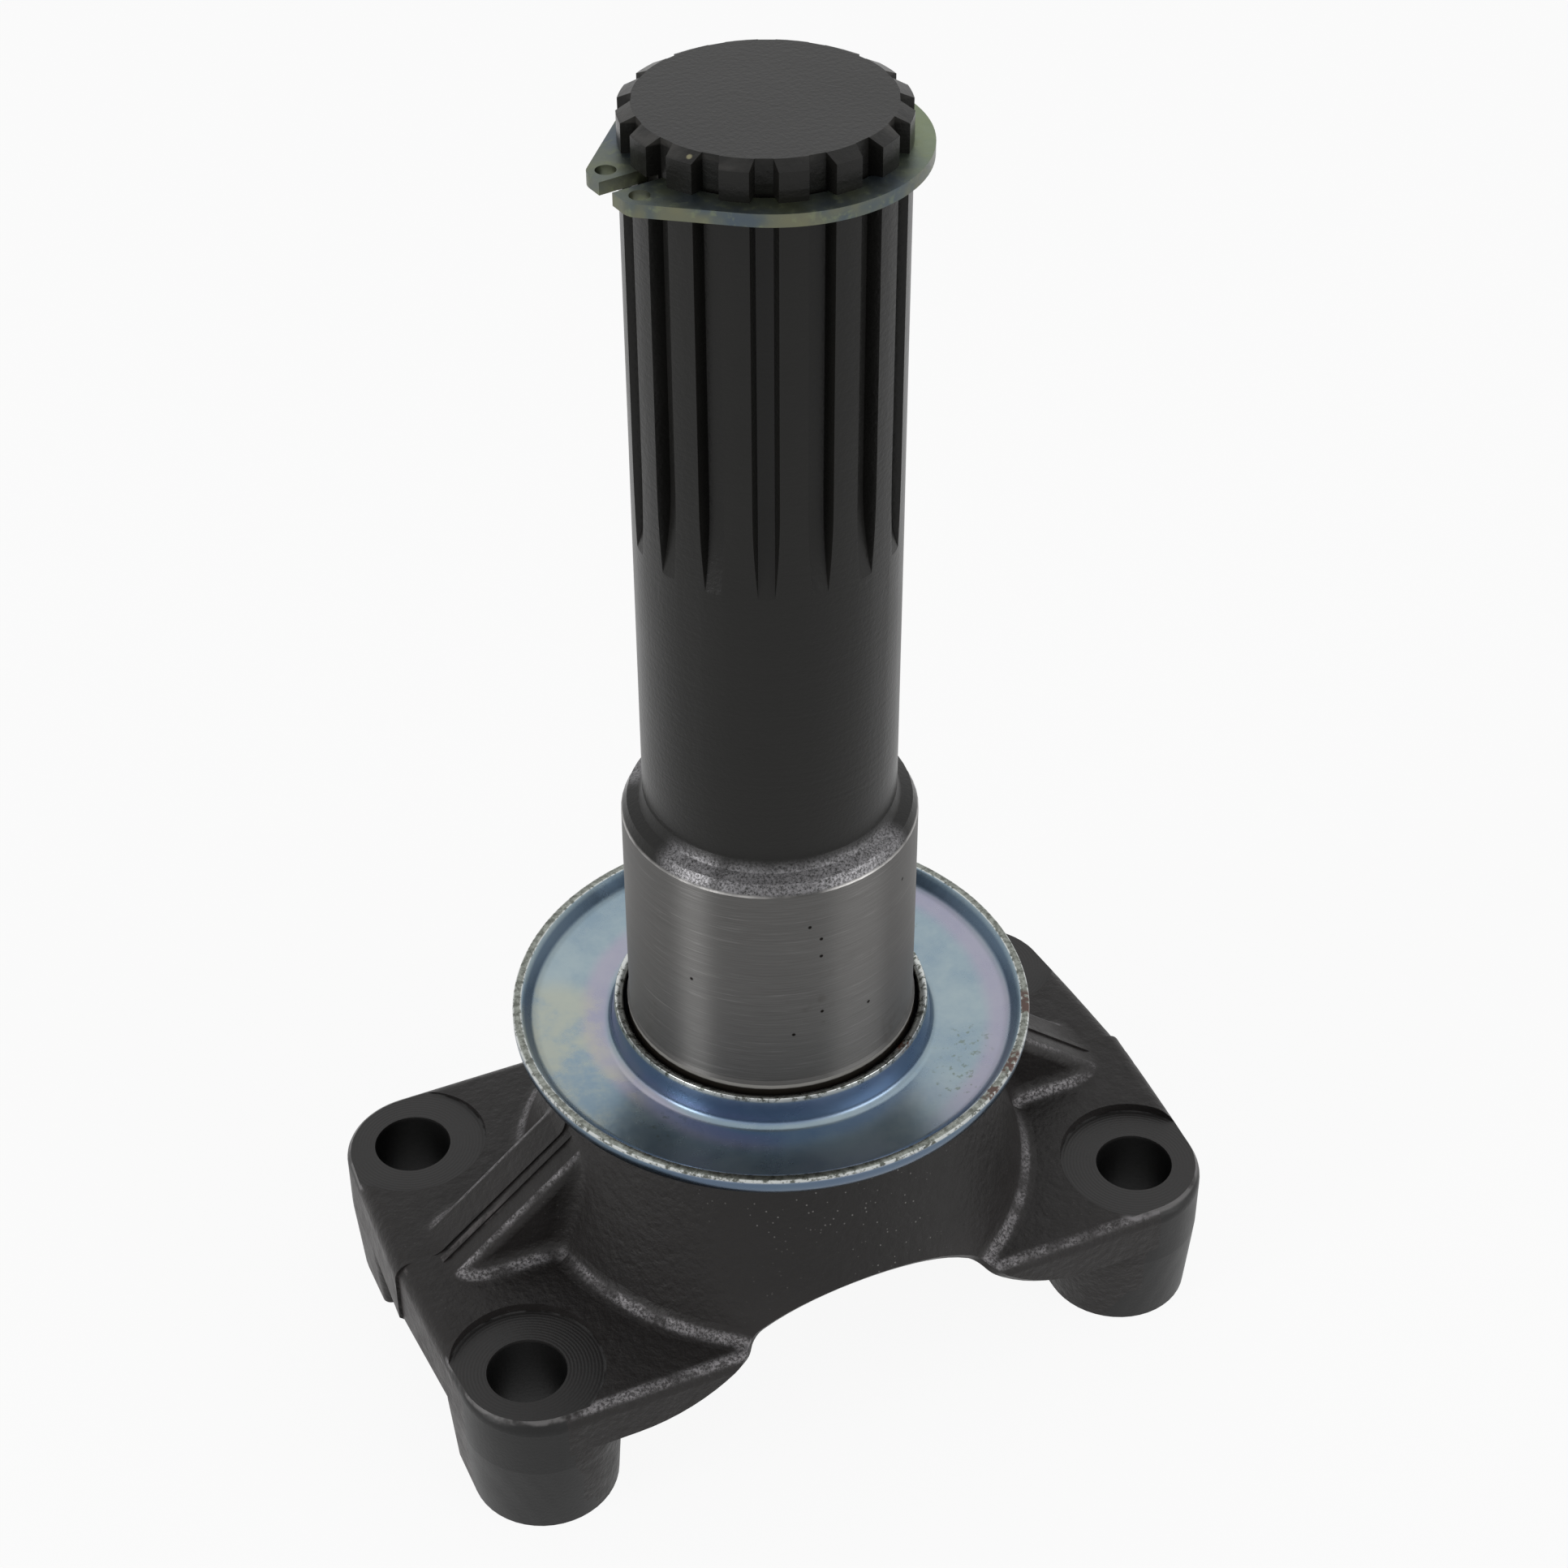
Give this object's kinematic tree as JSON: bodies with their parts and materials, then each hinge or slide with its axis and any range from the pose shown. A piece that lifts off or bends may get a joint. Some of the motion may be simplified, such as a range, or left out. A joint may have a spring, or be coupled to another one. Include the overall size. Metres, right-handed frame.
{
  "type": "splined yoke shaft",
  "caption": "Forged wing-type universal-joint yoke with a splined stub shaft, a ground journal, a plated dust shield and a snap ring.",
  "frame": {"origin": "on the shaft's axis, in the plane of the four leg feet", "axes": "+Z along the shaft towards its splined end, X along the ears, Y through the arch"},
  "size_m": [0.1092, 0.068, 0.1777],
  "materials": {
    "forged_steel": "satin black over a fine forged grain, bare and ground on the journal",
    "plated_sheet": "zinc plate with a blue passivation, rubbed and rusty in spots at its edges",
    "plated_spring_steel": "dull olive plating"
  },
  "bodies": {
    "root": {"yoke": "forged_steel", "dust_shield": "plated_sheet", "snap_ring": "plated_spring_steel"}
  },
  "joints": []
}
